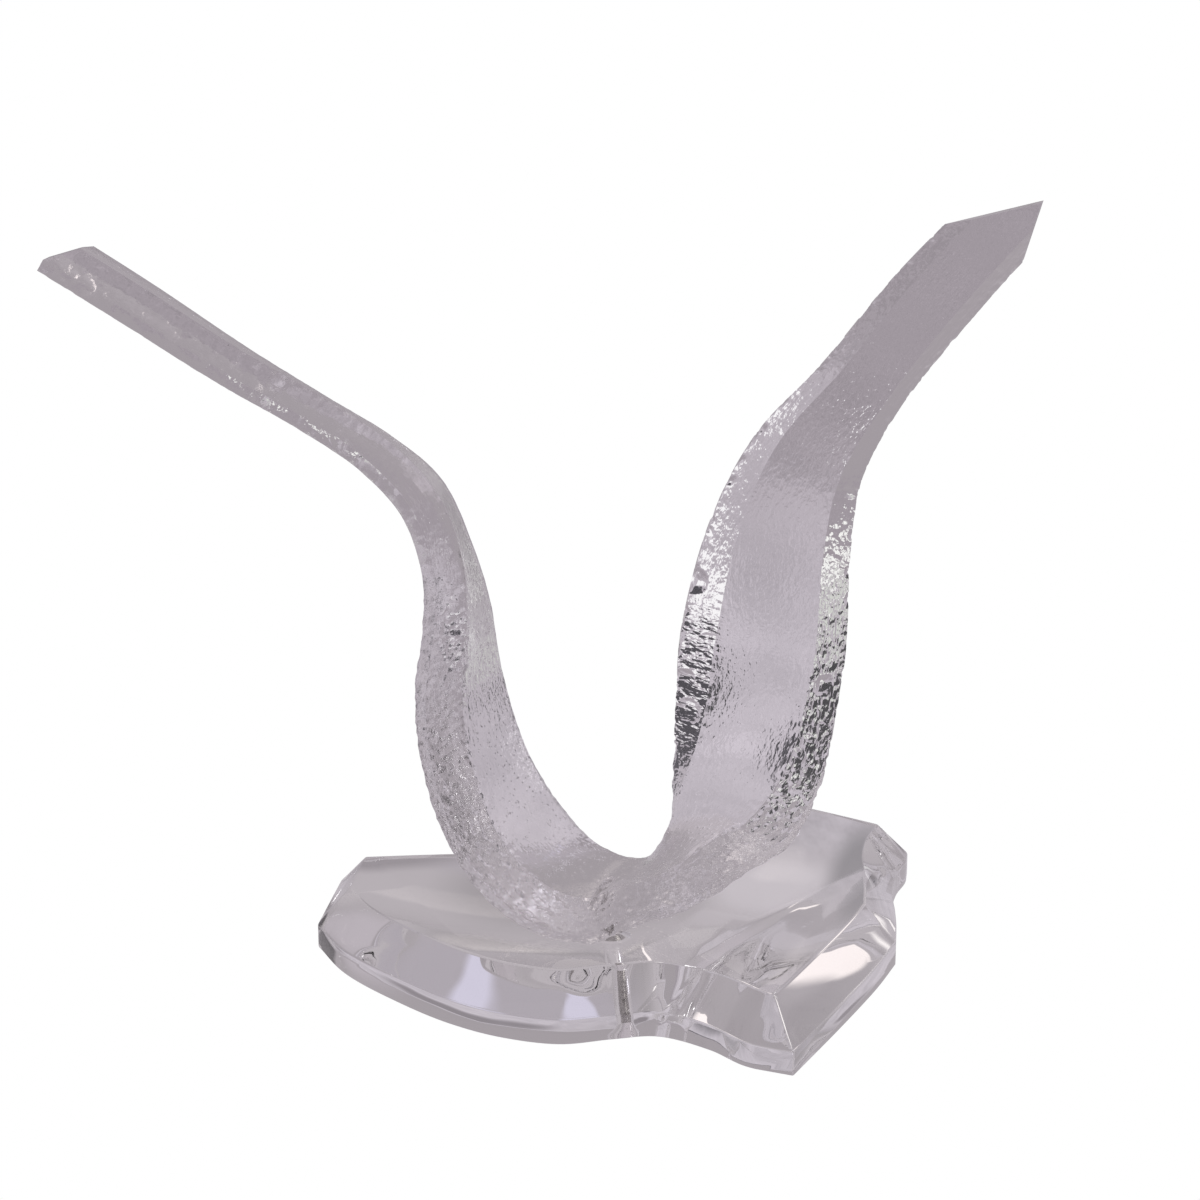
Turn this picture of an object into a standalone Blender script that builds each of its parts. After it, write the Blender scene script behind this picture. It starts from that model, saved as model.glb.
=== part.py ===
"""Acrylic bird: one bent and chipped clear bar, screwed to a free-form clear slab.

Metres, +Z up. The bird faces -Y, the origin is at the middle of the bounding box's underside.
"""
import math

import bmesh
import bpy
import numpy as np
from mathutils import Vector, noise

# Bird: the pose below multiplies its height, the bar's own section has its own sizes
BIRD_HEIGHT = 0.300
BAR_THICKNESS = 0.015
BAR_WIDTH = 0.060
EDGE_WALL = 0.005
BEVEL_SHARE = 0.2
RING_SPACING = 0.0045
FOOT_FLAT = 0.001

# Chipping of the bar's bevels and edges
CHIP_DEPTH = 0.0014
CHIP_LENGTH = 0.009

# Slab
SLAB_LENGTH = 0.248
SLAB_DEPTH = 0.236
SLAB_THICKNESS = 0.0254
SLAB_WALL = 0.010
SLAB_BEVEL = 0.013
SLAB_EDGE_RADIUS = 0.0006
OUTLINE_SPACING = 0.008
MITRE_ROOM = 1.15

# Fixing screw, countersunk from below
SCREW_DIAMETER = 0.00635
HEAD_DIAMETER = 0.0127
HEAD_CYLINDER = 0.0006
HEAD_RECESS = 0.0006
THREAD_DEPTH = 0.008
TIP_CHAMFER = 0.001
SOCKET_WIDTH = 0.004
SOCKET_DEPTH = 0.0025
SCREW_SIDES = 24

# Gap kept between pieces that touch, and round the screw
GAP = 0.0003

ACRYLIC_COLOR = (0.86, 0.84, 0.87, 1.0)
STEEL_COLOR = (0.56, 0.55, 0.54, 1.0)

# The bar's centre line from the left wing's tip down to the foot and up to the right
# wing's tip. x, y and z are shares of BIRD_HEIGHT from the point under the bend, then come
# the heading and the tilt of the bar's front edge in degrees, and the width as a share of
# BAR_WIDTH.
POSE = (
    (-0.740, 0.153, 0.871, 269, 3, 0.53),
    (-0.612, 0.133, 0.793, 269, 5, 0.56),
    (-0.486, 0.113, 0.713, 269, 9, 0.59),
    (-0.382, 0.093, 0.654, 270, 12, 0.645),
    (-0.302, 0.083, 0.604, 269, 10, 0.73),
    (-0.244, 0.073, 0.550, 268, 5, 0.80),
    (-0.211, 0.067, 0.470, 265, 3, 0.84),
    (-0.197, 0.060, 0.400, 257, 0, 0.92),
    (-0.190, 0.048, 0.298, 246, 0, 1.00),
    (-0.167, 0.033, 0.202, 240, -3, 1.03),
    (-0.126, 0.020, 0.115, 239, -9, 1.04),
    (-0.069, 0.007, 0.056, 244, -12, 1.02),
    (-0.007, -0.007, 0.034, 256, -7, 1.02),
    (0.050, -0.020, 0.048, 275, 12, 1.00),
    (0.104, -0.020, 0.092, 298, 16, 1.00),
    (0.142, 0.002, 0.134, 320, 10, 1.05),
    (0.171, 0.027, 0.194, 340, 4, 1.03),
    (0.187, 0.043, 0.267, 354, 0, 1.06),
    (0.199, 0.053, 0.357, 360, 0, 1.09),
    (0.217, 0.063, 0.486, 358, -8, 0.95),
    (0.250, 0.077, 0.588, 352, -25, 0.775),
    (0.319, 0.113, 0.679, 350, -38, 0.59),
    (0.419, 0.160, 0.794, 348, -40, 0.565),
    (0.573, 0.219, 0.945, 348, -40, 0.51),
)

# Corners of the wing tips' cuts, rear to front: (beyond the pose's last point, towards the
# front edge), as shares of the width there
LEFT_TIP = ((-0.30, -0.60), (-0.25, 0.15), (-0.28, 0.60))
RIGHT_TIP = ((-1.48, -0.60), (-0.28, 0.16), (-1.06, 0.52))
TIP_REACH = 2.2
TIP_BEVEL = 0.009

# The slab's outline at its wall, shares of SLAB_LENGTH and SLAB_DEPTH from the screw,
# and whether the outline has a corner there
SLAB_OUTLINE = (
    (-0.482, 0.119, True),
    (-0.429, 0.000, False),
    (-0.335, -0.121, False),
    (-0.250, -0.206, False),
    (-0.169, -0.259, False),
    (-0.079, -0.285, False),
    (0.000, -0.266, False),
    (0.069, -0.255, False),
    (0.145, -0.305, False),
    (0.200, -0.369, False),
    (0.269, -0.403, True),
    (0.358, -0.210, False),
    (0.423, -0.061, False),
    (0.460, 0.038, True),
    (0.468, 0.119, False),
    (0.472, 0.186, False),
    (0.475, 0.271, False),
    (0.490, 0.356, False),
    (0.512, 0.419, False),
    (0.519, 0.466, True),
    (0.431, 0.534, False),
    (0.345, 0.598, True),
    (0.238, 0.462, False),
    (0.145, 0.362, False),
    (0.067, 0.310, False),
    (-0.020, 0.319, False),
    (-0.119, 0.345, False),
    (-0.258, 0.345, False),
    (-0.460, 0.326, True),
)


def spline(rows, measure):
    """Centripetal Catmull-Rom through rows; measure is how many columns are a place."""
    rows = np.asarray(rows, float)
    ends = np.vstack([2 * rows[0] - rows[1], rows, 2 * rows[-1] - rows[-2]])
    steps = np.sqrt(np.linalg.norm(np.diff(ends[:, :measure], axis=0), axis=1))

    def at(index, share):
        before, start, end, after = ends[index:index + 4]
        d0, d1, d2 = steps[index:index + 3]
        leave = (start - before) / d0 - (end - before) / (d0 + d1) + (end - start) / d1
        arrive = (end - start) / d1 - (after - start) / (d1 + d2) + (after - end) / d2
        s2, s3 = share ** 2, share ** 3
        return ((2 * s3 - 3 * s2 + 1) * start + (s3 - 2 * s2 + share) * d1 * leave
                + (3 * s2 - 2 * s3) * end + (s3 - s2) * d1 * arrive)

    return at


def resample(rows, measure, spacing):
    """Rows at an even spacing along the smooth line through the given rows."""
    at = spline(rows, measure)
    fine = np.array([at(i, k / 16) for i in range(len(rows) - 1) for k in range(16)]
                    + [np.asarray(rows[-1], float)])
    run = np.append(0.0, np.cumsum(np.linalg.norm(np.diff(fine[:, :measure], axis=0), axis=1)))
    stops = np.linspace(0.0, run[-1], max(2, round(run[-1] / spacing) + 1))
    return stops, np.column_stack([np.interp(stops, run, column) for column in fine.T])


def unit(vectors):
    return vectors / np.linalg.norm(vectors, axis=-1, keepdims=True)


def bar_frames():
    """Distance, centre, and the along, front and face directions and width of each ring."""
    rows = []
    for x, y, z, heading, tilt, width in POSE:
        place = [x * BIRD_HEIGHT, y * BIRD_HEIGHT, z * BIRD_HEIGHT]
        rows.append(place + [math.radians(heading), math.radians(tilt), width * BAR_WIDTH])
    run, rows = resample(rows, 3, RING_SPACING)
    centre, heading, tilt, width = rows[:, :3], rows[:, 3], rows[:, 4], rows[:, 5]
    along = unit(np.gradient(centre, axis=0))
    front = np.column_stack([np.cos(heading) * np.cos(tilt), np.sin(heading) * np.cos(tilt),
                             np.sin(tilt)])
    front = unit(front - np.sum(front * along, axis=1)[:, None] * along)
    return run, centre, along, front, np.cross(front, along), width


def section(width):
    """Corners of the bar's section: (towards the front, towards the face, chipping)."""
    half, low, high = width / 2, -BAR_THICKNESS / 2, BAR_THICKNESS / 2
    bevel = BEVEL_SHARE * width
    wall = low + EDGE_WALL
    edge = [(half, wall, 0.7), (half - bevel / 2, (wall + high) / 2, 1.0),
            (half - bevel, high, 0.35)]
    back = [(half * share, low, 0.0) for share in (-0.5, 0.0, 0.5)]
    return ([(-half, low, 0.45)] + back + [(half, low, 0.45)] + edge + [(0.0, high, 0.0)]
            + [(-a, b, chip) for a, b, chip in reversed(edge)])


def chip(distance, column):
    """How deep the bar is chipped there, from 0 to 1, the same on every run."""
    slow = noise.noise(Vector((distance / CHIP_LENGTH, 3.7 * column, 0.0)))
    quick = noise.noise(Vector((2.3 * distance / CHIP_LENGTH, 5.1 * column, 9.0)))
    return min(1.0, abs(slow) * 1.3 + abs(quick) * 0.7)


def inward(points, index, centre_share=0.6):
    """Direction from a corner of the section into the bar."""
    a, b, _ = points[index]
    towards = Vector((-a * (1 - centre_share) / 2, -b * centre_share))
    return towards.normalized()


def loft_bar(bm):
    """Rings joined into one closed skin, chipped less where they crowd inside the bend."""
    _, centres, _, fronts, faces, widths = frames = bar_frames()
    points = np.array([section(width) for width in widths])
    places = (centres[:, None] + points[:, :, :1] * fronts[:, None]
              + points[:, :, 1:2] * faces[:, None])
    steps = np.linalg.norm(np.gradient(places, axis=0), axis=2) / RING_SPACING
    rings = []
    for ring, distance in enumerate(frames[0]):
        corners = []
        for index, (a, b, share) in enumerate(points[ring]):
            room = min(1.0, max(0.0, (steps[ring, index] - 0.4) / 0.4))
            depth = CHIP_DEPTH * share * room * chip(distance, index)
            into = inward(points[ring], index)
            place = places[ring, index] + depth * (into.x * fronts[ring] + into.y * faces[ring])
            corners.append(bm.verts.new(place))
        rings.append(corners)
    for one, two in zip(rings, rings[1:]):
        for k in range(len(one)):
            n = (k + 1) % len(one)
            bm.faces.new((one[k], one[n], two[n], two[k]))
    bm.faces.new(list(reversed(rings[0])))
    bm.faces.new(rings[-1])


def slice_off(bm, reach, centre, place, outward):
    """Cut away what lies beyond a plane, near the centre only, and close the cut."""
    geometry = [v for v in bm.verts if (v.co - centre).length < reach]
    near = set(geometry)
    geometry += [e for e in bm.edges if all(v in near for v in e.verts)]
    geometry += [f for f in bm.faces if all(v in near for v in f.verts)]
    bmesh.ops.bisect_plane(bm, geom=geometry, dist=1e-7, plane_co=place, plane_no=outward,
                           clear_outer=True)
    bmesh.ops.holes_fill(bm, edges=[e for e in bm.edges if e.is_boundary], sides=0)


def shape_tip(bm, end, corners):
    """Cut a wing tip along its corners, each side with the bar's wall and a bevel."""
    _, centres, alongs, fronts, faces, widths = bar_frames()
    sign = 1 if end else -1
    centre, along = Vector(centres[end]), Vector(alongs[end]) * sign
    front, face, width = Vector(fronts[end]), Vector(faces[end]), widths[end]
    reach = TIP_REACH * width
    rise = BAR_THICKNESS - EDGE_WALL
    for (a0, f0), (a1, f1) in zip(corners, corners[1:]):
        outward = (along * (f1 - f0) - front * (a1 - a0)).normalized()
        corner = centre + (along * a0 + front * f0) * width
        wall_top = corner + face * (EDGE_WALL - BAR_THICKNESS / 2)
        slice_off(bm, reach, centre, corner, outward)
        slice_off(bm, reach, centre, wall_top, outward * rise + face * TIP_BEVEL)


def new_object(name, bm, collection, material):
    bmesh.ops.recalc_face_normals(bm, faces=bm.faces)
    mesh = bpy.data.meshes.new(name)
    bm.to_mesh(mesh)
    bm.free()
    made = bpy.data.objects.new(name, mesh)
    collection.objects.link(made)
    if material:
        made.data.materials.append(material)
    return made


def make_bird(collection, material):
    bm = bmesh.new()
    loft_bar(bm)
    bmesh.ops.recalc_face_normals(bm, faces=bm.faces)
    shape_tip(bm, 0, LEFT_TIP)
    shape_tip(bm, -1, RIGHT_TIP)
    foot = min(v.co.z for v in bm.verts) + FOOT_FLAT
    slice_off(bm, BAR_WIDTH, Vector((0, 0, foot)), Vector((0, 0, foot)), Vector((0, 0, -1)))
    seat = SLAB_THICKNESS + GAP
    bmesh.ops.translate(bm, verts=bm.verts, vec=(0, 0, seat - foot))
    return new_object("bird", bm, collection, material)


def slab_outline():
    """The slab's outline, smooth between its corners, with room for the bevel's mitres."""
    rows = [Vector((x * SLAB_LENGTH, y * SLAB_DEPTH)) for x, y, _ in SLAB_OUTLINE]
    corners = [i for i, row in enumerate(SLAB_OUTLINE) if row[2]]
    room = {}
    for i in corners:
        opening = (rows[i - 1] - rows[i]).angle(rows[i + 1 - len(rows)] - rows[i])
        room[i] = MITRE_ROOM * SLAB_BEVEL / math.tan(opening / 2)
    rows.append(rows[0])
    points = []
    for start, end in zip(corners, corners[1:] + [len(rows) - 1]):
        along = [Vector(p) for p in resample(rows[start:end + 1], 2, OUTLINE_SPACING)[1]]
        points.append(along[0])
        points += [p for p in along[1:-1] if (p - along[0]).length > room[start]
                   and (p - along[-1]).length > room[end % (len(rows) - 1)]]
    return points


def make_slab(collection, material):
    bm = bmesh.new()
    floor = bm.faces.new([bm.verts.new((x, y, 0)) for x, y in slab_outline()])
    floor.normal_update()
    if floor.normal.z < 0:
        floor.normal_flip()
    top = bmesh.ops.extrude_face_region(bm, geom=[floor])["geom"]
    bmesh.ops.translate(bm, verts=[v for v in top if isinstance(v, bmesh.types.BMVert)],
                        vec=(0, 0, SLAB_WALL))
    top = [f for f in top if isinstance(f, bmesh.types.BMFace)]
    bmesh.ops.recalc_face_normals(bm, faces=bm.faces)
    bmesh.ops.inset_region(bm, faces=top, thickness=SLAB_BEVEL,
                           depth=SLAB_THICKNESS - SLAB_WALL, use_even_offset=True)
    slab = new_object("slab", bm, collection, material)
    rounding = slab.modifiers.new("eased edges", "BEVEL")
    rounding.width = SLAB_EDGE_RADIUS
    rounding.segments = 1
    rounding.limit_method = "ANGLE"
    rounding.angle_limit = math.radians(30)
    return slab


def turned(name, profile, collection, material):
    """A turned solid from its profile, from the axis at the top to the axis below."""
    mesh = bpy.data.meshes.new(name)
    mesh.from_pydata([(r, 0, z) for r, z in profile], [(i, i + 1) for i in range(len(profile) - 1)], [])
    made = bpy.data.objects.new(name, mesh)
    collection.objects.link(made)
    if material:
        mesh.materials.append(material)
    turn = made.modifiers.new("turn", "SCREW")
    turn.steps = SCREW_SIDES
    turn.render_steps = SCREW_SIDES
    turn.use_merge_vertices = True
    turn.merge_threshold = 0.00001
    turn.use_smooth_shade = False
    return made


def screw_profile(clearance):
    """Outer profile of the screw, or of the hole for it with the clearance added."""
    shaft = SCREW_DIAMETER / 2 + clearance
    head = HEAD_DIAMETER / 2 + clearance
    cone = HEAD_DIAMETER / 2 - SCREW_DIAMETER / 2
    tip = SLAB_THICKNESS + THREAD_DEPTH + clearance
    low = HEAD_RECESS if clearance == 0 else -GAP
    shoulder = HEAD_RECESS + HEAD_CYLINDER
    return [(0, tip), (shaft - TIP_CHAMFER, tip), (shaft, tip - TIP_CHAMFER),
            (shaft, shoulder + cone), (head, shoulder), (head, low), (0, low)]


def make_screw(collection, cutters, material):
    screw = turned("fixing_screw", screw_profile(0), collection, material)
    bpy.ops.mesh.primitive_cylinder_add(vertices=6, radius=SOCKET_WIDTH / math.sqrt(3),
                                        depth=2 * SOCKET_DEPTH, location=(0, 0, HEAD_RECESS))
    socket = bpy.context.object
    move_to(socket, "screw_socket_cutter", cutters)
    cut(screw, socket)
    return screw


def move_to(made, name, collection):
    made.name = name
    for owner in list(made.users_collection):
        owner.objects.unlink(made)
    collection.objects.link(made)
    made.hide_render = True
    made.display_type = "WIRE"


def cut(made, cutter):
    hole = made.modifiers.new("cut " + cutter.name, "BOOLEAN")
    hole.operation = "DIFFERENCE"
    hole.solver = "EXACT"
    hole.object = cutter


def material(name, color, roughness, metallic, transmission):
    made = bpy.data.materials.new(name)
    made.use_nodes = True
    shader = made.node_tree.nodes["Principled BSDF"]
    shader.inputs["Base Color"].default_value = color
    shader.inputs["Roughness"].default_value = roughness
    shader.inputs["Metallic"].default_value = metallic
    shader.inputs["Transmission Weight"].default_value = transmission
    shader.inputs["IOR"].default_value = 1.49
    return made


for old in list(bpy.data.objects):
    bpy.data.objects.remove(old, do_unlink=True)

sculpture = bpy.data.collections.new("acrylic bird sculpture")
cutters = bpy.data.collections.new("cutters")
for group in (sculpture, cutters):
    bpy.context.scene.collection.children.link(group)

bird = make_bird(sculpture, material("chipped clear acrylic", ACRYLIC_COLOR, 0.08, 0.0, 1.0))
slab = make_slab(sculpture, material("polished clear acrylic", ACRYLIC_COLOR, 0.02, 0.0, 1.0))
screw = make_screw(sculpture, cutters, material("bright steel", STEEL_COLOR, 0.3, 1.0, 0.0))

bore = turned("screw_hole_cutter", screw_profile(GAP), cutters, None)
move_to(bore, "screw_hole_cutter", cutters)
cut(bird, bore)
cut(slab, bore)

# Stand everything with the middle of its bounding box's underside at the origin
bpy.context.view_layer.update()
shapes = bpy.context.evaluated_depsgraph_get()
corners = [made.matrix_world @ Vector(corner) for made in (bird, slab, screw)
           for corner in made.evaluated_get(shapes).bound_box]
low = Vector(map(min, zip(*corners)))
high = Vector(map(max, zip(*corners)))
stand = bpy.data.objects.new("stand", None)
sculpture.objects.link(stand)
stand.location = (-(low.x + high.x) / 2, -(low.y + high.y) / 2, -low.z)
for made in (bird, slab, screw, *cutters.objects):
    made.parent = stand
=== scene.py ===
"""Acrylic bird: the chipped clear bar, its polished slab and the screw between them.

The bird faces -Y, in metres, with the origin under the middle of the whole.
"""

import math

import bmesh
import bpy
import numpy as np
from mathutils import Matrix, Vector, noise


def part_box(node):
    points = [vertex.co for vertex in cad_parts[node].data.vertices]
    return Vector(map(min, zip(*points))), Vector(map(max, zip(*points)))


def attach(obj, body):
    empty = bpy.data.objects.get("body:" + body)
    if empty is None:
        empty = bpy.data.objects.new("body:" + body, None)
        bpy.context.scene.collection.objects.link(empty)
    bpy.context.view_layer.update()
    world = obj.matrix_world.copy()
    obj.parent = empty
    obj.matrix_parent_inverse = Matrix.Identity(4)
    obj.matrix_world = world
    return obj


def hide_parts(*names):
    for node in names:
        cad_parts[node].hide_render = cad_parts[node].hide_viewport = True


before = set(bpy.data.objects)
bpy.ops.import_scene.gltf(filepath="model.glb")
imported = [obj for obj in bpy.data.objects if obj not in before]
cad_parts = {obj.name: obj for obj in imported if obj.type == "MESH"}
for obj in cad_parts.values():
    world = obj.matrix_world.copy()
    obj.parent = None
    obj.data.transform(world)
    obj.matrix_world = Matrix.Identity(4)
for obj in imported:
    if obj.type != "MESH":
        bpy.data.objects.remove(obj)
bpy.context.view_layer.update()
bpy.ops.object.select_all(action="DESELECT")
screw_low, screw_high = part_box("fixing_screw")
axis_x, axis_y = (screw_low.x + screw_high.x) / 2, (screw_low.y + screw_high.y) / 2

# Camera: level with the photograph's, 16 degrees above the table and a long lens away, so
# the slab's top shows as a shallow band and the wings keep their true spread.
CAMERA_RISE = math.radians(16)
CAMERA_DISTANCE = 1.15
LENS_MM = 89.7
SENSOR_MM = 36
CLIP_RANGE = (0.05, 50)
AIM_LEFT = 0.0046
AIM_HEIGHT = 0.1554
aim = Vector((axis_x - AIM_LEFT, axis_y, AIM_HEIGHT))
bpy.ops.object.camera_add()
camera = bpy.context.object
camera.name = "photograph_view"
camera.data.lens = LENS_MM
camera.data.sensor_width = SENSOR_MM
camera.data.clip_start, camera.data.clip_end = CLIP_RANGE
away = Vector((0, -math.cos(CAMERA_RISE), math.sin(CAMERA_RISE)))
camera.location = aim + away * CAMERA_DISTANCE
camera.rotation_euler = (-away).to_track_quat("-Z", "Y").to_euler()
bpy.context.scene.camera = camera


# The bird is a 15 mm cast acrylic bar, bent hot into a U with a swept wing at each end, and
# its legs twisted. Both edges of its inner face are chipped back to a ragged bevel, its wing
# tips are sawn with corners, and one screw from below holds its foot to the slab.
BIRD_HEIGHT = 0.300
BAR_LIFT = 0.02616
BAR_THICKNESS = 0.015
BAR_WIDTH = 0.060
EDGE_WALL = 0.005
BEVEL_SHARE = 0.2
RING_SPACING = 0.00063
BIRD_CREASE = math.radians(32)

# The pose repeats the solid's, from the left wing's tip down to the foot and up to the right
# wing's tip: x, y and z in shares of the height, the heading and tilt of the bar's front
# edge in degrees, and the share of the full width
POSE = (
    (-0.740, 0.153, 0.871, 269, 3, 0.53),
    (-0.612, 0.133, 0.793, 269, 5, 0.56),
    (-0.486, 0.113, 0.713, 269, 9, 0.59),
    (-0.382, 0.093, 0.654, 270, 12, 0.645),
    (-0.302, 0.083, 0.604, 269, 10, 0.73),
    (-0.244, 0.073, 0.550, 268, 5, 0.80),
    (-0.211, 0.067, 0.470, 265, 3, 0.84),
    (-0.197, 0.060, 0.400, 257, 0, 0.92),
    (-0.190, 0.048, 0.298, 246, 0, 1.00),
    (-0.167, 0.033, 0.202, 240, -3, 1.03),
    (-0.126, 0.020, 0.115, 239, -9, 1.04),
    (-0.069, 0.007, 0.056, 244, -12, 1.02),
    (-0.007, -0.007, 0.034, 256, -7, 1.02),
    (0.050, -0.020, 0.048, 275, 12, 1.00),
    (0.104, -0.020, 0.092, 298, 16, 1.00),
    (0.142, 0.002, 0.134, 320, 10, 1.05),
    (0.171, 0.027, 0.194, 340, 4, 1.03),
    (0.187, 0.043, 0.267, 354, 0, 1.06),
    (0.199, 0.053, 0.357, 360, 0, 1.09),
    (0.217, 0.063, 0.486, 358, -8, 0.95),
    (0.250, 0.077, 0.588, 352, -25, 0.775),
    (0.319, 0.113, 0.679, 350, -38, 0.59),
    (0.419, 0.160, 0.794, 348, -40, 0.565),
    (0.573, 0.219, 0.945, 348, -40, 0.51),
)

# Each wing's saw cuts, corner to corner: how far past the tip and how far towards the front,
# in shares of the bar's width there, as the saw's reach is. The cuts leave a bevel, narrow
# on the right tip, where the flat face runs on up to the cut.
LEFT_TIP = ((-0.30, -0.60), (-0.25, 0.15), (-0.28, 0.60))
RIGHT_TIP = ((-1.48, -0.60), (-0.28, 0.16), (-1.06, 0.52))
LEFT_TIP_BEVEL = 0.009
RIGHT_TIP_BEVEL = 0.002
TIP_REACH = 2.2
SPLINE_STEPS = 48


def spline(rows, measure):
    """Centripetal Catmull-Rom through rows; measure is how many columns are a place."""
    rows = np.asarray(rows, float)
    ends = np.vstack([2 * rows[0] - rows[1], rows, 2 * rows[-1] - rows[-2]])
    steps = np.sqrt(np.linalg.norm(np.diff(ends[:, :measure], axis=0), axis=1))

    def at(index, share):
        before, start, end, after = ends[index:index + 4]
        d0, d1, d2 = steps[index:index + 3]
        leave = (start - before) / d0 - (end - before) / (d0 + d1) + (end - start) / d1
        arrive = (end - start) / d1 - (after - start) / (d1 + d2) + (after - end) / d2
        s2, s3 = share ** 2, share ** 3
        return ((2 * s3 - 3 * s2 + 1) * start + (s3 - 2 * s2 + share) * d1 * leave
                + (3 * s2 - 2 * s3) * end + (s3 - s2) * d1 * arrive)

    return at


def resample(rows, measure, spacing):
    """Rows at an even spacing along the smooth line through the given rows, and their runs."""
    at = spline(rows, measure)
    fine = np.array([at(i, k / SPLINE_STEPS) for i in range(len(rows) - 1)
                     for k in range(SPLINE_STEPS)] + [np.asarray(rows[-1], float)])
    run = np.append(0.0, np.cumsum(np.linalg.norm(np.diff(fine[:, :measure], axis=0), axis=1)))
    stops = np.linspace(0.0, run[-1], max(2, round(run[-1] / spacing) + 1))
    return stops, np.column_stack([np.interp(stops, run, column) for column in fine.T])


def unit(vectors):
    """The same directions at length 1."""
    return vectors / np.linalg.norm(vectors, axis=-1, keepdims=True)


pose = np.array(POSE)
rows = np.column_stack([pose[:, :3] * BIRD_HEIGHT, np.radians(pose[:, 3:5]),
                        pose[:, 5] * BAR_WIDTH])
run, rows = resample(rows, 3, RING_SPACING)
centres, headings, tilts, widths = rows[:, :3], rows[:, 3], rows[:, 4], rows[:, 5]
alongs = unit(np.gradient(centres, axis=0))
fronts = np.column_stack([np.cos(headings) * np.cos(tilts), np.sin(headings) * np.cos(tilts),
                          np.sin(tilts)])
fronts = unit(fronts - np.sum(fronts * alongs, axis=1)[:, None] * alongs)
faces = np.cross(fronts, alongs)
centres = centres + np.array((axis_x, axis_y, BAR_LIFT))

# The section runs round the bar from the middle of its back: half the back, front wall,
# front bevel, inner face, rear bevel, rear wall and the back's other half, each in strips.
SIDES = (("back", 4), ("wall", 5), ("bevel", 24), ("face", 18), ("bevel", 24), ("wall", 5),
         ("back", 4))


def section(width):
    """Columns round the section: (towards the front, towards the face)."""
    half, low, high = width / 2, -BAR_THICKNESS / 2, BAR_THICKNESS / 2
    bevel = BEVEL_SHARE * width
    corners = [(0, low), (half, low), (half, low + EDGE_WALL), (half - bevel, high),
               (bevel - half, high), (-half, low + EDGE_WALL), (-half, low), (0, low)]
    points = []
    for start, end, (_, count) in zip(corners, corners[1:], SIDES):
        shares = np.arange(count)[:, None] / count
        points.append(np.array(start) * (1 - shares) + np.array(end) * shares)
    return np.vstack(points + [np.array(corners[-1:])])


sections = np.array([section(width) for width in widths])
columns = sections.shape[1]
places = (centres[:, None] + sections[:, :, :1] * fronts[:, None]
          + sections[:, :, 1:] * faces[:, None])

# Outward direction of every point of the skin, the distance round the section, and how far
# apart the rings are there, as a share of their spacing along the middle
outward = unit(np.cross(np.gradient(places, axis=0), np.gradient(places, axis=1)))
around = np.cumsum(np.linalg.norm(np.diff(sections, axis=1, prepend=sections[:, :1]), axis=2),
                   axis=1)
crowding = np.linalg.norm(np.gradient(places, axis=0), axis=2) / RING_SPACING

# How each edge is broken. The rows are the distance from the left tip, then the shares of
# shells lying across the edge, of strokes running along it, and of round pebbles.
FRONT_EDGE = (
    (0.000, 0.03, 0.03, 0.03),
    (0.050, 0.03, 0.03, 0.03),
    (0.080, 0.20, 0.15, 0.15),
    (0.170, 0.15, 0.10, 0.10),
    (0.208, 0.05, 0.05, 0.05),
    (0.222, 0.10, 0.20, 0.70),
    (0.270, 0.10, 0.20, 1.00),
    (0.425, 0.15, 0.35, 1.00),
    (0.445, 0.15, 0.90, 0.40),
    (0.500, 0.15, 1.00, 0.15),
    (0.512, 0.05, 0.35, 0.15),
    (0.560, 0.05, 0.30, 0.15),
    (0.600, 0.15, 0.40, 0.20),
    (0.715, 0.15, 0.40, 0.20),
)
REAR_EDGE = (
    (0.000, 0.03, 0.03, 0.03),
    (0.065, 0.03, 0.03, 0.03),
    (0.110, 0.40, 0.10, 0.15),
    (0.170, 0.15, 0.10, 0.10),
    (0.270, 0.05, 0.25, 0.20),
    (0.330, 0.10, 0.30, 0.40),
    (0.400, 0.20, 0.20, 0.60),
    (0.435, 0.60, 0.10, 0.30),
    (0.450, 1.00, 0.05, 0.20),
    (0.492, 0.90, 0.05, 0.15),
    (0.504, 0.38, 0.05, 0.06),
    (0.516, 0.12, 0.03, 0.03),
    (0.532, 0.06, 0.03, 0.03),
    (0.560, 0.10, 0.05, 0.05),
    (0.600, 0.12, 0.05, 0.10),
    (0.715, 0.20, 0.05, 0.15),
)

# Their sizes along and across the bar and their depths, how far each wanders off its row, how
# the break fades ragged into the face, and the crowding of the rings that it dies out over
# inside the bends
SHELL = (0.0028, 0.0068)
STROKE = (0.0062, 0.0026)
STROKE_SLANT = 0.45
PEBBLE = 0.0036
BREAK_DEPTHS = (0.00026, 0.00022, 0.00065)
BOWL_REACH = 0.8
WANDER = 0.0016
WANDER_LENGTH = 0.0048
WANDER_SEED = 1
FADE_INTO_FACE = 0.0035
FADE_RAGGED = 600
CROWDED = (0.3, 0.8)

# The outer edges are nicked all along, deepest on the wings and the right leg. The rows are
# the distance from the left tip and the share of the depth.
NICKS = ((0.00, 0.9), (0.15, 0.7), (0.19, 0.3), (0.40, 0.4), (0.44, 1.0), (0.60, 1.0),
         (0.715, 0.8))
NICK_DEPTH = 0.0013
NICK_SIZES = (0.0048, 0.0018)
SMALL_NICK_SHARE = 0.6
NICK_REACH = 0.0030
EDGES_APART = 0.1

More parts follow.
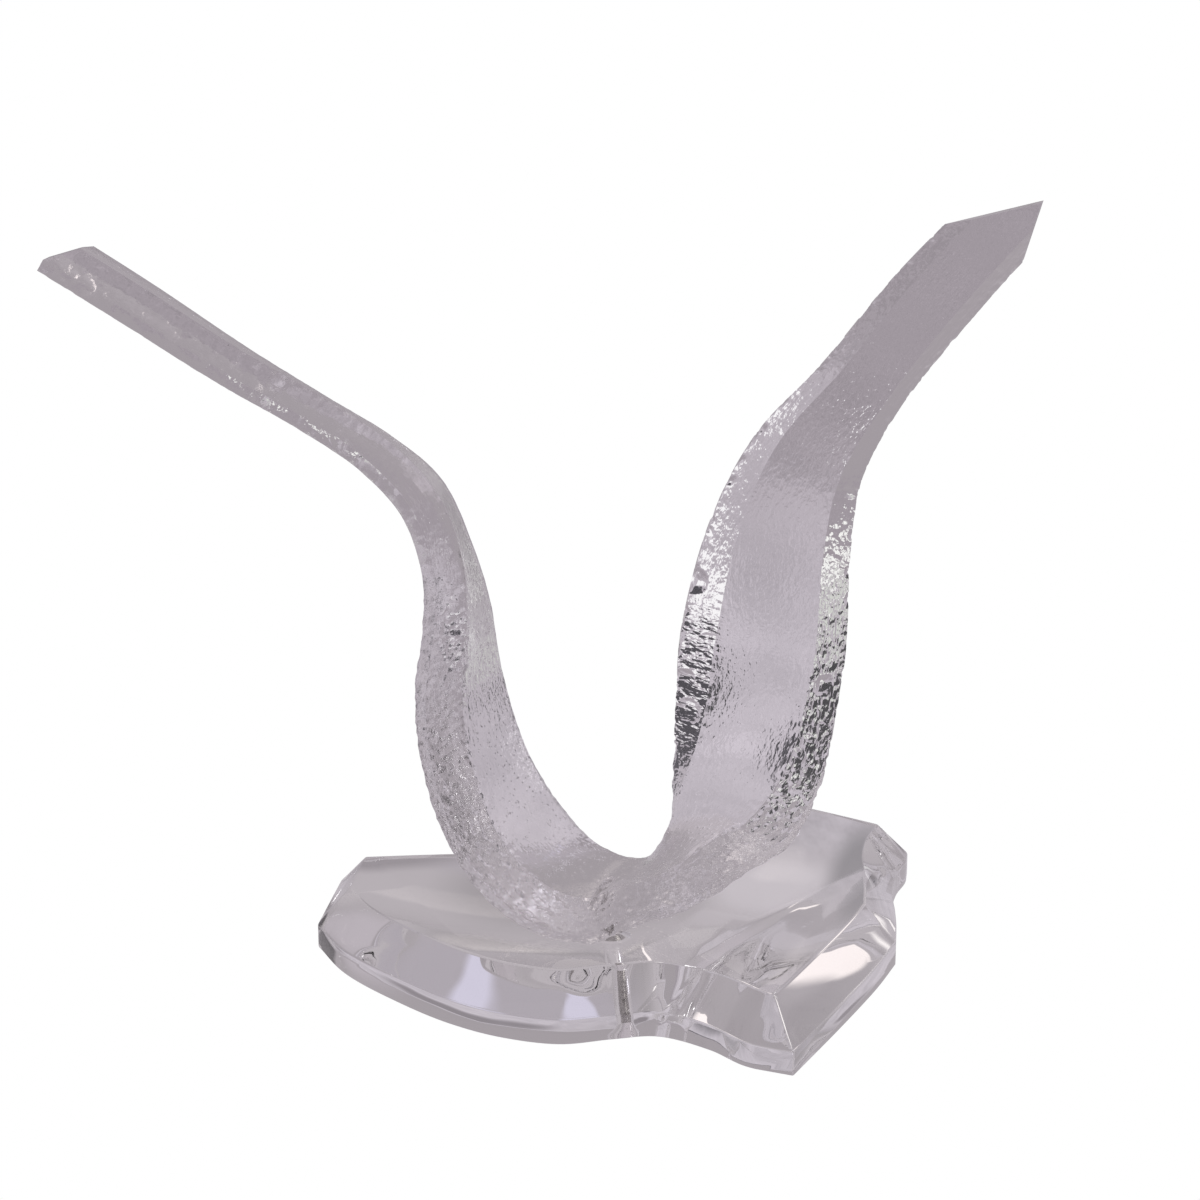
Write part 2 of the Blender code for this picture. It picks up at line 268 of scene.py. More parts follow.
# The largest flakes: which edge, distance from the left tip, distance from the bar's middle
# in half widths, radius and depth
FLAKES = (
    (-1, 0.4600, 0.80, 0.0056, 0.0011),
    (-1, 0.4740, 0.90, 0.0042, 0.0008),
    (-1, 0.5130, 0.95, 0.0046, 0.0009),
    (1, 0.4790, 0.78, 0.0044, 0.0009),
    (1, 0.5620, 0.84, 0.0030, 0.0009),
    (-1, 0.1060, 0.98, 0.0030, 0.0012),
)

kinds = np.repeat([name for name, _ in SIDES] + ["back"], [count for _, count in SIDES] + [1])
half_widths = widths[:, None] / 2
across = sections[:, :, 0] / half_widths
inset = (1 - 2 * BEVEL_SHARE - np.abs(across)) * half_widths
broken = np.zeros(places.shape)
for sign, edge in ((1, FRONT_EDGE), (-1, REAR_EDGE)):
    shares = np.column_stack([np.interp(run, [row[0] for row in edge], column)
                              for column in list(zip(*edge))[1:]])
    side = (np.sign(across) == sign) & (kinds != "back")
    broken += np.where(side[:, :, None], shares[:, None], 0)
depths = np.zeros(places.shape[:2])
broken[inset >= 2 * FADE_INTO_FACE] = 0
noise.seed_set(WANDER_SEED)
for ring, column in zip(*np.nonzero((kinds != "back") & (inset < 2 * FADE_INTO_FACE))):
    length, girth = run[ring], around[ring, column]
    bend = noise.noise_vector(Vector((length, girth, 0)) / WANDER_LENGTH) * WANDER
    length, girth = length + bend.x, girth + bend.y
    fade = 1 - inset[ring, column] / (FADE_INTO_FACE * (1 + FADE_RAGGED * bend.z))
    fade = min(1.0, max(0.0, fade))
    broken[ring, column] *= fade
    # Each kind of break reads its own layer of the pattern
    spots = (Vector((length / SHELL[0], girth / SHELL[1], 0)),
             Vector(((length + STROKE_SLANT * girth) / STROKE[0], girth / STROKE[1], 9)),
             Vector((length, girth, 0)) / PEBBLE + Vector((0, 0, 17)))
    for spot, share, depth in zip(spots, broken[ring, column], BREAK_DEPTHS):
        if share > 0:
            bowl = max(0.0, 1 - (noise.voronoi(spot)[0][0] / BOWL_REACH) ** 2)
            depths[ring, column] += share * depth * bowl
for sign, middle, out, radius, deep in FLAKES:
    reach = np.hypot(run[:, None] - middle, (across * sign - out) * half_widths) / radius
    depths += np.where(kinds != "back", deep * np.clip(1 - reach ** 2, 0, 1), 0)
depths *= np.clip((crowding - CROWDED[0]) / (CROWDED[1] - CROWDED[0]), 0, 1)
edge_share = np.clip(1 - (1 - np.abs(across)) * half_widths / NICK_REACH, 0, 1)
edge_share *= np.interp(run, *zip(*NICKS))[:, None]
nicks = np.zeros(depths.shape)
for ring, column in zip(*np.nonzero(edge_share)):
    spot = Vector((run[ring], sections[ring, column, 1],
                   math.copysign(EDGES_APART, across[ring, column])))
    rough = (noise.noise(spot / NICK_SIZES[0])
             + SMALL_NICK_SHARE * noise.noise(spot / NICK_SIZES[1]))
    nicks[ring, column] = edge_share[ring, column] * NICK_DEPTH * max(0.0, rough)
places = (places - outward * depths[:, :, None]
          - fronts[:, None] * (np.sign(across) * nicks)[:, :, None])

# The fine relief is a pattern in the straight bar: distance from the left tip, then across.
# The faces are pitted most down the left leg, in shares at distances from the left tip.
PITTED = ((0.00, 0.1), (0.05, 0.1), (0.08, 0.5), (0.16, 0.2), (0.21, 0.1), (0.23, 0.8),
          (0.30, 1.0), (0.40, 1.0), (0.45, 0.3), (0.56, 0.2), (0.60, 0.4), (0.715, 0.4))
MERGE_DISTANCE = 0.00001
skin = np.dstack([np.broadcast_to(run[:, None], depths.shape), sections])
bpy.ops.mesh.primitive_grid_add(x_subdivisions=columns - 1, y_subdivisions=len(run) - 1)
bird = bpy.context.object
bird.name = "chipped_bird"
bird.data.vertices.foreach_set("co", places.reshape(-1))
bird.data.update()
for name, values in (("skin", skin), ("broken", broken)):
    layer = bird.data.attributes.new(name, "FLOAT_VECTOR", "POINT")
    layer.data.foreach_set("vector", values.reshape(-1))
pitted = bird.data.attributes.new("pitted", "FLOAT", "POINT")
pitted.data.foreach_set("value", np.repeat(np.interp(run, *zip(*PITTED)), columns))
bpy.ops.object.mode_set(mode="EDIT")
bpy.ops.mesh.select_all(action="SELECT")
bpy.ops.mesh.remove_doubles(threshold=MERGE_DISTANCE)
bpy.ops.mesh.select_all(action="DESELECT")
bpy.ops.mesh.select_non_manifold()
bpy.ops.mesh.fill_holes(sides=0)
bpy.ops.mesh.select_all(action="SELECT")
bpy.ops.mesh.normals_make_consistent(inside=False)
bpy.ops.object.mode_set(mode="OBJECT")


SAW_TOLERANCE = 1e-7


def slice_off(bm, reach, centre, place, saw):
    """Saw off what lies beyond a plane, near the centre only, and close the cut."""
    geometry = [v for v in bm.verts if (v.co - centre).length < reach]
    near = set(geometry)
    geometry += [e for e in bm.edges if all(v in near for v in e.verts)]
    geometry += [f for f in bm.faces if all(v in near for v in f.verts)]
    bmesh.ops.bisect_plane(bm, geom=geometry, dist=SAW_TOLERANCE, plane_co=place,
                           plane_no=saw, clear_outer=True)
    bmesh.ops.holes_fill(bm, edges=[e for e in bm.edges if e.is_boundary], sides=0)


sawn = bmesh.new()
sawn.from_mesh(bird.data)
for end, corners, bevel in ((0, LEFT_TIP, LEFT_TIP_BEVEL), (-1, RIGHT_TIP, RIGHT_TIP_BEVEL)):
    centre, width = Vector(centres[end]), widths[end]
    along = Vector(alongs[end]) * (1 if end else -1)
    front, face = Vector(fronts[end]), Vector(faces[end])
    rise = BAR_THICKNESS - EDGE_WALL
    for (a0, f0), (a1, f1) in zip(corners, corners[1:]):
        saw = (along * (f1 - f0) - front * (a1 - a0)).normalized()
        corner = centre + (along * a0 + front * f0) * width
        wall_top = corner + face * (EDGE_WALL - BAR_THICKNESS / 2)
        slice_off(sawn, TIP_REACH * width, centre, corner, saw)
        slice_off(sawn, TIP_REACH * width, centre, wall_top, saw * rise + face * bevel)
foot = Vector((axis_x, axis_y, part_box("bird")[0].z))
slice_off(sawn, BAR_WIDTH, foot, foot, Vector((0, 0, -1)))
sawn.to_mesh(bird.data)
sawn.free()


def linear(code, alpha=1.0):
    """An sRGB hex colour as the linear values that a shader takes."""
    parts = [int(code[i:i + 2], 16) / 255 for i in (1, 3, 5)]
    return [p / 12.92 if p <= 0.04045 else ((p + 0.055) / 1.055) ** 2.4 for p in parts] + [alpha]


def add_node(tree, kind, settings=None, inputs=None):
    """A node with its settings, and its inputs as values or as sockets to link."""
    node = tree.nodes.new(kind)
    for name, value in (settings or {}).items():
        setattr(node, name, value)
    for name, value in (inputs or {}).items():
        if isinstance(value, bpy.types.NodeSocket):
            tree.links.new(value, node.inputs[name])
        else:
            node.inputs[name].default_value = value
    return node


def new_material(name, values):
    """A material with one Principled shader, its plain values set on its own sockets."""
    made = bpy.data.materials.new(name)
    made.use_nodes = True
    shader = made.node_tree.nodes["Principled BSDF"]
    for socket, value in values.items():
        shader.inputs[socket].default_value = value
    return made, made.node_tree, shader


# Cast acrylic, bent hot and broken along its edges: clear as glass, a little lilac in its
# thickness. The heat left faint strokes all over its faces and small pits in the legs, and
# the breaks carry finer shells, strokes and pebbles of 1 to 4 mm, which make them glitter.
chipped, tree, shader = new_material("cast_acrylic_chipped", {
    "Base Color": linear("#fdfbfd"), "IOR": 1.49, "Transmission Weight": 1.0, "Roughness": 0.01})
skin_node = add_node(tree, "ShaderNodeAttribute", {"attribute_name": "skin"})
broken_node = add_node(tree, "ShaderNodeSeparateXYZ", None, {
    "Vector": add_node(tree, "ShaderNodeAttribute", {"attribute_name": "broken"}).outputs[
        "Vector"]})

# Which break it goes with, its size along and across the bar, its slant and its height
FINE_RELIEF = (
    ("X", (0.0014, 0.0036), 0.0, 0.00017),
    ("Y", (0.0038, 0.0014), -0.4, 0.00016),
    ("Z", (0.0030, 0.0030), 0.0, 0.00070),
)
SKIN_WANDER = 0.002
SKIN_WANDER_LENGTH = 0.006
FACE_STROKE = (0.0044, 0.0018)
FACE_SLANT = 0.5
FACE_HEIGHT = 0.00012
PIT_SPACING = 0.0030
PIT_SIZES = (0.12, 0.30)
PIT_DEPTH = 0.00010
wander = add_node(tree, "ShaderNodeTexNoise", None, {
    "Vector": skin_node.outputs["Vector"], "Scale": 1 / SKIN_WANDER_LENGTH, "Detail": 1.0})
bent = add_node(tree, "ShaderNodeVectorMath", {"operation": "MULTIPLY_ADD"}, {
    0: wander.outputs["Color"], 1: (SKIN_WANDER,) * 3, 2: skin_node.outputs["Vector"]})
laid = add_node(tree, "ShaderNodeMapping", None, {
    "Vector": bent.outputs["Vector"], "Rotation": (0, 0, FACE_SLANT),
    "Scale": (1 / FACE_STROKE[0], 1 / FACE_STROKE[1], 1 / FACE_STROKE[1])})
faint = add_node(tree, "ShaderNodeTexNoise", None, {
    "Vector": laid.outputs["Vector"], "Scale": 1.0, "Detail": 2.0, "Roughness": 0.6})
relief = add_node(tree, "ShaderNodeMath", {"operation": "MULTIPLY"}, {
    0: faint.outputs["Fac"], 1: FACE_HEIGHT}).outputs["Value"]
bubbles = add_node(tree, "ShaderNodeTexVoronoi", None, {
    "Vector": bent.outputs["Vector"], "Scale": 1 / PIT_SPACING})
pit = add_node(tree, "ShaderNodeMapRange", {"interpolation_type": "SMOOTHSTEP"}, {
    "Value": bubbles.outputs["Distance"], "From Min": PIT_SIZES[0], "From Max": PIT_SIZES[1],
    "To Max": PIT_DEPTH})
relief = add_node(tree, "ShaderNodeMath", {"operation": "MULTIPLY_ADD"}, {
    0: pit.outputs["Result"], 2: relief,
    1: add_node(tree, "ShaderNodeAttribute", {"attribute_name": "pitted"}).outputs["Fac"],
    }).outputs["Value"]
for share, (length, girth), slant, height in FINE_RELIEF:
    laid = add_node(tree, "ShaderNodeMapping", None, {
        "Vector": bent.outputs["Vector"], "Rotation": (0, 0, slant),
        "Scale": (1 / length, 1 / girth, 1 / girth)})
    cells = add_node(tree, "ShaderNodeTexVoronoi", None, {
        "Vector": laid.outputs["Vector"], "Scale": 1.0})
    bowl = add_node(tree, "ShaderNodeMath", {"operation": "MULTIPLY"}, {
        0: cells.outputs["Distance"], 1: height})
    relief = add_node(tree, "ShaderNodeMath", {"operation": "MULTIPLY_ADD"}, {
        0: bowl.outputs["Value"], 1: broken_node.outputs[share], 2: relief}).outputs["Value"]
ripple = add_node(tree, "ShaderNodeBump", None, {
    "Height": relief, "Strength": 1.0, "Distance": 1.0})
tree.links.new(ripple.outputs["Normal"], shader.inputs["Normal"])
bird.data.materials.append(chipped)
bpy.ops.object.select_all(action="DESELECT")
bird.select_set(True)
bpy.context.view_layer.objects.active = bird
bpy.ops.object.shade_smooth_by_angle(angle=BIRD_CREASE)
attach(bird, "root")
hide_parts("bird")


# The slab is cut from inch-thick cast acrylic on a band saw along a free line, then bevelled
# wide all round its top and polished, so its walls act as a lens on what lies behind. Its
# outline, in shares of its length and depth from the screw, says where it has a corner.
SLAB_LENGTH = 0.248
SLAB_DEPTH = 0.236
SLAB_THICKNESS = 0.0254
SLAB_WALL = 0.010
SLAB_BEVEL = 0.013
SLAB_EDGE_RADIUS = 0.0008
SLAB_EDGE_STEPS = 3
SLAB_EDGE_FOLD = math.radians(24)
SLAB_CREASE = math.radians(30)
OUTLINE_SPACING = 0.0025
MITRE_ROOM = 1.15
SLAB_OUTLINE = (
    (-0.482, 0.119, True),
    (-0.429, 0.000, False),
    (-0.335, -0.121, False),
    (-0.250, -0.206, False),
    (-0.169, -0.259, False),
    (-0.079, -0.285, False),
    (0.000, -0.266, False),
    (0.069, -0.255, False),
    (0.145, -0.305, False),
    (0.200, -0.369, False),
    (0.269, -0.403, True),
    (0.358, -0.210, False),
    (0.423, -0.061, False),
    (0.460, 0.038, True),
    (0.468, 0.119, False),
    (0.472, 0.186, False),
    (0.475, 0.271, False),
    (0.490, 0.356, False),
    (0.512, 0.419, False),
    (0.519, 0.466, True),
    (0.431, 0.534, False),
    (0.345, 0.598, True),
    (0.238, 0.462, False),
    (0.145, 0.362, False),
    (0.067, 0.310, False),
    (-0.020, 0.319, False),
    (-0.119, 0.345, False),
    (-0.258, 0.345, False),
    (-0.460, 0.326, True),
)
rows = [Vector((x * SLAB_LENGTH, y * SLAB_DEPTH)) for x, y, _ in SLAB_OUTLINE]
corners = [i for i, row in enumerate(SLAB_OUTLINE) if row[2]]
room = {}
for i in corners:
    opening = (rows[i - 1] - rows[i]).angle(rows[i + 1 - len(rows)] - rows[i])
    room[i] = MITRE_ROOM * SLAB_BEVEL / math.tan(opening / 2)
rows.append(rows[0])
edge = []
for start, end in zip(corners, corners[1:] + [len(rows) - 1]):
    line = [Vector(p) for p in resample(rows[start:end + 1], 2, OUTLINE_SPACING)[1]]
    edge.append(line[0])
    edge += [p for p in line[1:-1] if (p - line[0]).length > room[start]
             and (p - line[-1]).length > room[end % (len(rows) - 1)]]
bpy.ops.mesh.primitive_circle_add(vertices=len(edge), fill_type="NGON")
slab = bpy.context.object
slab.name = "polished_slab"
for vertex, point in zip(slab.data.vertices, edge):
    vertex.co = (point.x + axis_x, point.y + axis_y, 0)
bpy.ops.object.mode_set(mode="EDIT")
bpy.ops.mesh.select_all(action="SELECT")
bpy.ops.mesh.extrude_region_move(TRANSFORM_OT_translate={"value": (0, 0, SLAB_WALL)})
bpy.ops.mesh.inset(thickness=SLAB_BEVEL, depth=SLAB_THICKNESS - SLAB_WALL,
                   use_even_offset=True)
bpy.ops.mesh.select_all(action="SELECT")
bpy.ops.mesh.normals_make_consistent(inside=False)
bpy.ops.object.mode_set(mode="OBJECT")
rounding = slab.modifiers.new("eased edges", "BEVEL")
rounding.width = SLAB_EDGE_RADIUS
rounding.segments = SLAB_EDGE_STEPS
rounding.limit_method = "ANGLE"
rounding.angle_limit = SLAB_EDGE_FOLD
bpy.ops.object.modifier_apply(modifier=rounding.name)

# The hole for the screw is drilled through the slab, countersunk from below, and goes on
# into the bird's foot.
SCREW_DIAMETER = 0.00635
HEAD_DIAMETER = 0.0127
HEAD_HEIGHT = 0.0012
THREAD_DEPTH = 0.008
HOLE_GAP = 0.0003
HOLE_SIDES = 48
hole_radius = SCREW_DIAMETER / 2 + HOLE_GAP
head_radius = HEAD_DIAMETER / 2 + HOLE_GAP
hole_top = SLAB_THICKNESS + THREAD_DEPTH + HOLE_GAP
bpy.ops.object.select_all(action="DESELECT")
bpy.ops.mesh.primitive_cylinder_add(vertices=HOLE_SIDES, radius=hole_radius,
                                    depth=2 * hole_top, location=(axis_x, axis_y, 0))
drill = bpy.context.object
sink_depth = head_radius - hole_radius
bpy.ops.mesh.primitive_cone_add(vertices=HOLE_SIDES, radius1=head_radius + HEAD_HEIGHT,
                                radius2=hole_radius, depth=sink_depth + HEAD_HEIGHT,
                                location=(axis_x, axis_y, (sink_depth + HEAD_HEIGHT) / 2))
countersink = bpy.context.object
for body, cutter in ((slab, drill), (slab, countersink), (bird, drill)):
    bpy.ops.object.select_all(action="DESELECT")
    bpy.context.view_layer.objects.active = body
    body.select_set(True)
    bore = body.modifiers.new("bore", "BOOLEAN")
    bore.solver = "EXACT"
    bore.object = cutter
    bpy.ops.object.modifier_apply(modifier=bore.name)
for cutter in (drill, countersink):
    bpy.data.objects.remove(cutter)

# Cast acrylic sheet, flame polished on its sawn edges: clear and glossy, with the slow
# waves of a sheet cast between glass plates.
SHEET_WAVE = 0.035
SHEET_WAVE_DEPTH = 0.0002
polished, tree, shader = new_material("cast_acrylic_polished", {
    "Base Color": linear("#fdfcfd"), "IOR": 1.49, "Transmission Weight": 1.0, "Roughness": 0.0})
where = add_node(tree, "ShaderNodeTexCoord")
waves = add_node(tree, "ShaderNodeTexNoise", None, {
    "Vector": where.outputs["Object"], "Scale": 1 / SHEET_WAVE, "Detail": 1.0})
wavy = add_node(tree, "ShaderNodeBump", None, {
    "Height": waves.outputs["Fac"], "Strength": 1.0, "Distance": SHEET_WAVE_DEPTH})
tree.links.new(wavy.outputs["Normal"], shader.inputs["Normal"])
slab.data.materials.append(polished)
bpy.ops.object.select_all(action="DESELECT")
slab.select_set(True)
bpy.context.view_layer.objects.active = slab
bpy.ops.object.shade_smooth_by_angle(angle=SLAB_CREASE)
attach(slab, "root")
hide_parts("slab")


# The fixing screw is a bright steel machine screw with a flat countersunk head and a hex
# socket, driven up through the slab into the bird's foot. Its thread is rolled, 20 turns to
# the inch, and dies out below the head.
THREAD_PITCH = 0.00127
THREAD_HEIGHT = 0.00072
THREAD_START = 0.0075
HEAD_RECESS = 0.0006
HEAD_CYLINDER = 0.0006
TIP_CHAMFER = 0.001
SOCKET_WIDTH = 0.004
SOCKET_DEPTH = 0.0025
SCREW_SIDES = 36
SCREW_CREASE = math.radians(35)
ROWS_A_TURN = 8
shaft, head = SCREW_DIAMETER / 2, HEAD_DIAMETER / 2
shoulder = HEAD_RECESS + HEAD_CYLINDER
tip = SLAB_THICKNESS + THREAD_DEPTH
turned = [(0.0, HEAD_RECESS), (head, HEAD_RECESS), (head, shoulder),
          (shaft, shoulder + head - shaft)]
rise = np.arange(THREAD_START, tip - TIP_CHAMFER, THREAD_PITCH / ROWS_A_TURN)
turned += [(shaft, z) for z in rise] + [(shaft - TIP_CHAMFER, tip), (0.0, tip)]
turned = np.array(turned)
turns = np.linspace(0, 2 * math.pi, SCREW_SIDES + 1)
swept = turned[:, None, 1] / THREAD_PITCH - turns / (2 * math.pi)
groove = THREAD_HEIGHT * np.abs(2 * (swept % 1) - 1)
depth_of_cut = np.clip((turned[:, 1] - THREAD_START) / THREAD_PITCH, 0, 1)
depth_of_cut[-2:] = 0
radii = turned[:, None, 0] - groove * depth_of_cut[:, None]
thread = np.dstack([axis_x + radii * np.cos(turns), axis_y + radii * np.sin(turns),
                    np.broadcast_to(turned[:, None, 1], radii.shape)])
bpy.ops.object.select_all(action="DESELECT")
bpy.ops.mesh.primitive_grid_add(x_subdivisions=SCREW_SIDES, y_subdivisions=len(turned) - 1)
screw = bpy.context.object
screw.name = "machine_screw"
screw.data.vertices.foreach_set("co", thread.reshape(-1))
screw.data.update()
bpy.ops.object.mode_set(mode="EDIT")
bpy.ops.mesh.select_all(action="SELECT")
bpy.ops.mesh.remove_doubles(threshold=MERGE_DISTANCE)
bpy.ops.mesh.normals_make_consistent(inside=False)
bpy.ops.object.mode_set(mode="OBJECT")
bpy.ops.mesh.primitive_cylinder_add(vertices=6, radius=SOCKET_WIDTH / math.sqrt(3),
                                    depth=2 * SOCKET_DEPTH,
                                    location=(axis_x, axis_y, HEAD_RECESS))
key = bpy.context.object
bpy.ops.object.select_all(action="DESELECT")
bpy.context.view_layer.objects.active = screw
screw.select_set(True)
socket = screw.modifiers.new("hex socket", "BOOLEAN")
socket.solver = "EXACT"
socket.object = key
bpy.ops.object.modifier_apply(modifier=socket.name)
bpy.data.objects.remove(key)

# Zinc-plated steel: a bright metal, rolled smooth, with a faint grain that breaks its shine.
GRAIN_SIZE = 0.0008
GRAIN_DEPTH = 0.0001
plated, tree, shader = new_material("zinc_plated_steel", {
    "Base Color": linear("#c4c2bf"), "Metallic": 1.0, "Roughness": 0.24})
grain = add_node(tree, "ShaderNodeTexNoise", None, {
    "Vector": add_node(tree, "ShaderNodeTexCoord").outputs["Object"],
    "Scale": 1 / GRAIN_SIZE, "Detail": 2.0})
brushed = add_node(tree, "ShaderNodeBump", None, {
    "Height": grain.outputs["Fac"], "Strength": 0.3, "Distance": GRAIN_DEPTH})
tree.links.new(brushed.outputs["Normal"], shader.inputs["Normal"])
screw.data.materials.append(plated)
bpy.ops.object.shade_smooth_by_angle(angle=SCREW_CREASE)
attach(screw, "root")
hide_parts("fixing_screw")


# Staging: a pale table with a painted soft pool of light on it in a lilac-grey room, both plain
# white where the camera looks past the object. What the acrylic looks at through its edges is
# drawn as painted shade, painted light and painted glints in soft patches on the glowing table,
# and as windows and lamps, all hidden from the camera.
TABLE_SIZE = 6
TABLE_DROP = 0.0005
POOL_PLACE = (0.10, 0.20, 0.0)
POOL_SHAPE = (0.45, 1.0, 1.0)
POOL_REACH = (0.20, 0.85)
# Painted pool of light: the glowing table is lighter near the slab and darker far off
NEAR_TABLE = "#c5bfc6"
FAR_TABLE = "#a0999f"
HORIZON = "#a39da1"
CEILING = "#b9b3b7"
HORIZON_REACH = (0.15, 0.75)
WHITE = (1, 1, 1, 1)

# The table's mottle, coarse to fine, which the faint relief on the bird's flat faces breaks
# up into their frosted grain
MOTTLE_SIZE = (0.048, 0.160)
MOTTLE_TONES = (0.25, 1.75)

# Painted shadows, painted pools of light and painted glints on the table: what each patch
# paints, its place, half sizes, turn in degrees, tone and softness
TABLE_PAINTED_SHADE_AND_LIGHT = (
    ("painted shade around the slab", (0.000, -0.020), (0.190, 0.105), 0, "#bab4b8", 0.7),
    ("painted light right of the foot", (0.092, 0.030), (0.030, 0.030), 0, "#d0cacf", 0.8),
    ("painted shade under the foot", (0.010, 0.025), (0.050, 0.040), 0, "#9d989b", 0.7),
    ("painted shade behind the slab", (-0.015, 0.063), (0.040, 0.022), 0, "#aea8af", 0.7),
    ("painted shadow at the slab's back edge", (-0.078, 0.060), (0.036, 0.013), 0, "#979196", 0.9),
    ("painted shadow at the slab's right edge", (0.128, 0.045), (0.011, 0.055), -10, "#8f8c90", 0.9),
    ("shade of the foot", (0.022, 0.105), (0.020, 0.016), 0, "#8b858a", 0.8),
    ("painted lavender glint", (-0.001, 0.062), (0.0038, 0.008), 0, "#d3cfe0", 0.6),
    ("painted shade beside the leg", (0.160, 0.238), (0.056, 0.098), -13, "#454449", 0.25),
    ("painted light beyond it", (0.246, 0.362), (0.038, 0.048), -10, "#ffffff", 0.30),
    ("painted shade between the legs", (0.030, 0.372), (0.052, 0.100), 0, "#414143", 0.25),
    ("painted shade behind the left leg", (0.000, 0.418), (0.046, 0.048), 0, "#414143", 0.25),
    ("painted light behind the legs", (-0.050, 0.508), (0.026, 0.060), 31, "#d6dad2", 0.80),
    ("painted light far behind", (-0.150, 0.680), (0.042, 0.100), 31, "#fdfffa", 0.50),
    ("painted highlight on the knee", (0.236, 0.870), (0.020, 0.045), 0, "#ffffff", 0.30),
)
bpy.ops.object.select_all(action="DESELECT")
bpy.ops.mesh.primitive_plane_add(size=TABLE_SIZE, location=(0, 0, -TABLE_DROP))
table = bpy.context.object
table.name = "table"
pale = bpy.data.materials.new("table_painted_light_and_shade")
pale.use_nodes = True
tree = pale.node_tree
tree.nodes.clear()
table.data.materials.append(pale)
spot = add_node(tree, "ShaderNodeTexCoord").outputs["Object"]
pool = add_node(tree, "ShaderNodeVectorMath", {"operation": "LENGTH"}, {
    0: add_node(tree, "ShaderNodeMapping", {"vector_type": "TEXTURE"}, {
        "Vector": spot, "Location": POOL_PLACE, "Scale": POOL_SHAPE}).outputs["Vector"]})
share = add_node(tree, "ShaderNodeMapRange", {"interpolation_type": "SMOOTHSTEP"}, {
    "Value": pool.outputs["Value"], "From Min": POOL_REACH[0], "From Max": POOL_REACH[1]})
tone = add_node(tree, "ShaderNodeMix", {"data_type": "RGBA"}, {
    0: share.outputs["Result"], 6: linear(NEAR_TABLE), 7: linear(FAR_TABLE)})
grainy = add_node(tree, "ShaderNodeTexNoise", None, {
    "Vector": add_node(tree, "ShaderNodeMapping", None, {
        "Vector": spot, "Scale": (1 / MOTTLE_SIZE[0], 1 / MOTTLE_SIZE[1], 1)}).outputs["Vector"],
    "Scale": 1.0, "Detail": 5.0, "Roughness": 0.8})
mottle = add_node(tree, "ShaderNodeMapRange", None, {
    "Value": grainy.outputs["Fac"], "To Min": MOTTLE_TONES[0], "To Max": MOTTLE_TONES[1]})
tone = add_node(tree, "ShaderNodeMix", {"data_type": "RGBA", "blend_type": "MULTIPLY"}, {
    0: 1.0, 6: tone.outputs[2], 7: mottle.outputs["Result"]})
# Mix each patch of painted shade and painted light into the table's tone, softly at its rim
for _, (x, y), (wide, deep), turn, code, softness in TABLE_PAINTED_SHADE_AND_LIGHT:
    reach = add_node(tree, "ShaderNodeVectorMath", {"operation": "LENGTH"}, {
        0: add_node(tree, "ShaderNodeMapping", {"vector_type": "TEXTURE"}, {
            "Vector": spot, "Location": (x, y, 0), "Rotation": (0, 0, math.radians(turn)),
            "Scale": (wide, deep, 1)}).outputs["Vector"]})
    cover = add_node(tree, "ShaderNodeMapRange", {"interpolation_type": "SMOOTHSTEP"}, {
        "Value": reach.outputs["Value"], "From Min": 1 + softness / 2,
        "From Max": 1 - softness / 2})
    tone = add_node(tree, "ShaderNodeMix", {"data_type": "RGBA"}, {
        0: cover.outputs["Result"], 6: tone.outputs[2], 7: linear(code)})
seen = add_node(tree, "ShaderNodeMix", {"data_type": "RGBA"}, {
    0: add_node(tree, "ShaderNodeLightPath").outputs["Is Camera Ray"], 6: tone.outputs[2],
    7: WHITE})
glow = add_node(tree, "ShaderNodeEmission", None, {"Color": seen.outputs[2]})
add_node(tree, "ShaderNodeOutputMaterial", None, {"Surface": glow.outputs["Emission"]})

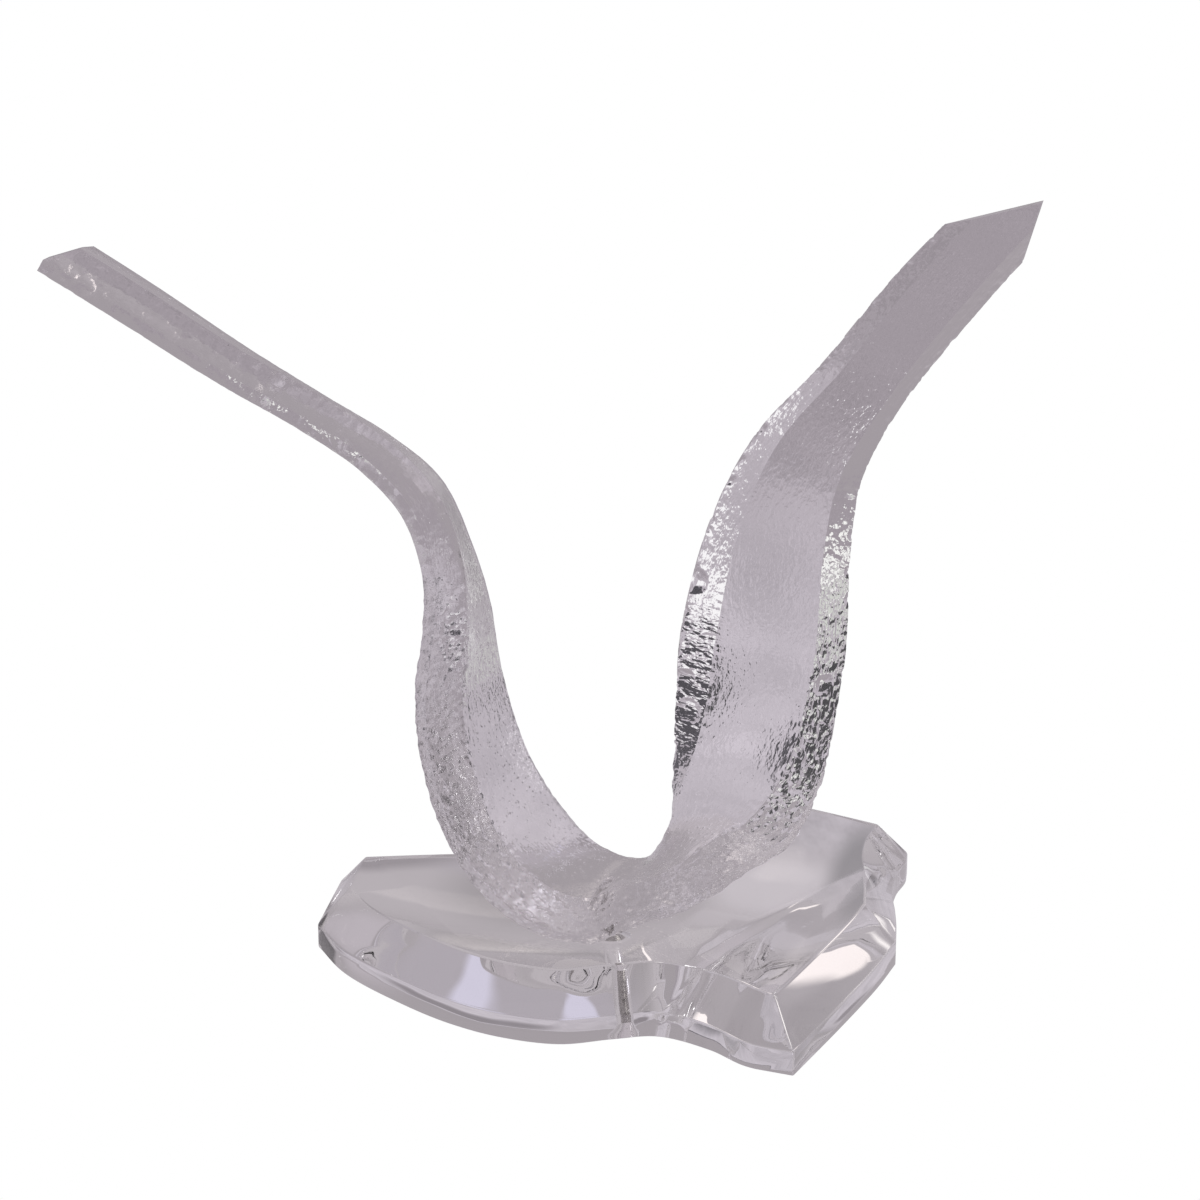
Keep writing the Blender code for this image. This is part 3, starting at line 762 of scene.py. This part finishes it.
# The room: its windows and lamps, each by its compass bearing and height above the table as
# seen from the slab, its radius, all in degrees, colour, strength and softness
LIGHTS = (
    ("window behind", 4, 37, 7.5, "#fff6f4", 1.10, 0.5),
    ("wall beside it", 34, 17, 10, "#bcb5bb", 1.00, 0.8),
    ("window right", 123, 34, 13, "#fffaf8", 1.20, 0.5),
    ("dark corner", 60, 10, 9, "#3c3a3c", 1.00, 0.5),
    ("side lamp", 92, 20, 4, "#ffffff", 4.00, 0.4),
    ("foot lamp", 61, 47, 2.6, "#f6f4ff", 4.00, 0.3),
)
world = bpy.data.worlds.new("studio")
world.use_nodes = True
bpy.context.scene.world = world
tree = world.node_tree
tree.nodes.clear()
look = add_node(tree, "ShaderNodeTexCoord").outputs["Generated"]
height = add_node(tree, "ShaderNodeSeparateXYZ", None, {"Vector": look})
share = add_node(tree, "ShaderNodeMapRange", {"interpolation_type": "SMOOTHSTEP"}, {
    "Value": height.outputs["Z"], "From Min": HORIZON_REACH[0], "From Max": HORIZON_REACH[1]})
tone = add_node(tree, "ShaderNodeMix", {"data_type": "RGBA"}, {
    0: share.outputs["Result"], 6: linear(HORIZON), 7: linear(CEILING)})
for _, bearing, rise, radius, code, strength, softness in LIGHTS:
    bearing, rise = math.radians(bearing), math.radians(rise)
    middle = (math.sin(bearing) * math.cos(rise), math.cos(bearing) * math.cos(rise),
              math.sin(rise))
    facing = add_node(tree, "ShaderNodeVectorMath", {"operation": "DOT_PRODUCT"}, {
        0: look, 1: middle})
    cover = add_node(tree, "ShaderNodeMapRange", {"interpolation_type": "SMOOTHSTEP"}, {
        "Value": facing.outputs["Value"],
        "From Min": math.cos(math.radians(radius * (1 + softness / 2))),
        "From Max": math.cos(math.radians(radius * (1 - softness / 2)))})
    tone = add_node(tree, "ShaderNodeMix", {"data_type": "RGBA"}, {
        0: cover.outputs["Result"], 6: tone.outputs[2],
        7: [value * strength for value in linear(code)]})
seen = add_node(tree, "ShaderNodeMix", {"data_type": "RGBA"}, {
    0: add_node(tree, "ShaderNodeLightPath").outputs["Is Camera Ray"], 6: tone.outputs[2],
    7: WHITE})
glow = add_node(tree, "ShaderNodeBackground", None, {"Color": seen.outputs[2]})
add_node(tree, "ShaderNodeOutputWorld", None, {"Surface": glow.outputs["Background"]})

# Light turns back inside the slab and the bar more often than Blender's default allows
LIGHT_TURNS = 24
INNER_REFLECTIONS = 16
paths = bpy.context.scene.cycles
paths.max_bounces = paths.transmission_bounces = LIGHT_TURNS
paths.glossy_bounces = INNER_REFLECTIONS
bpy.context.scene.view_settings.view_transform = "Standard"
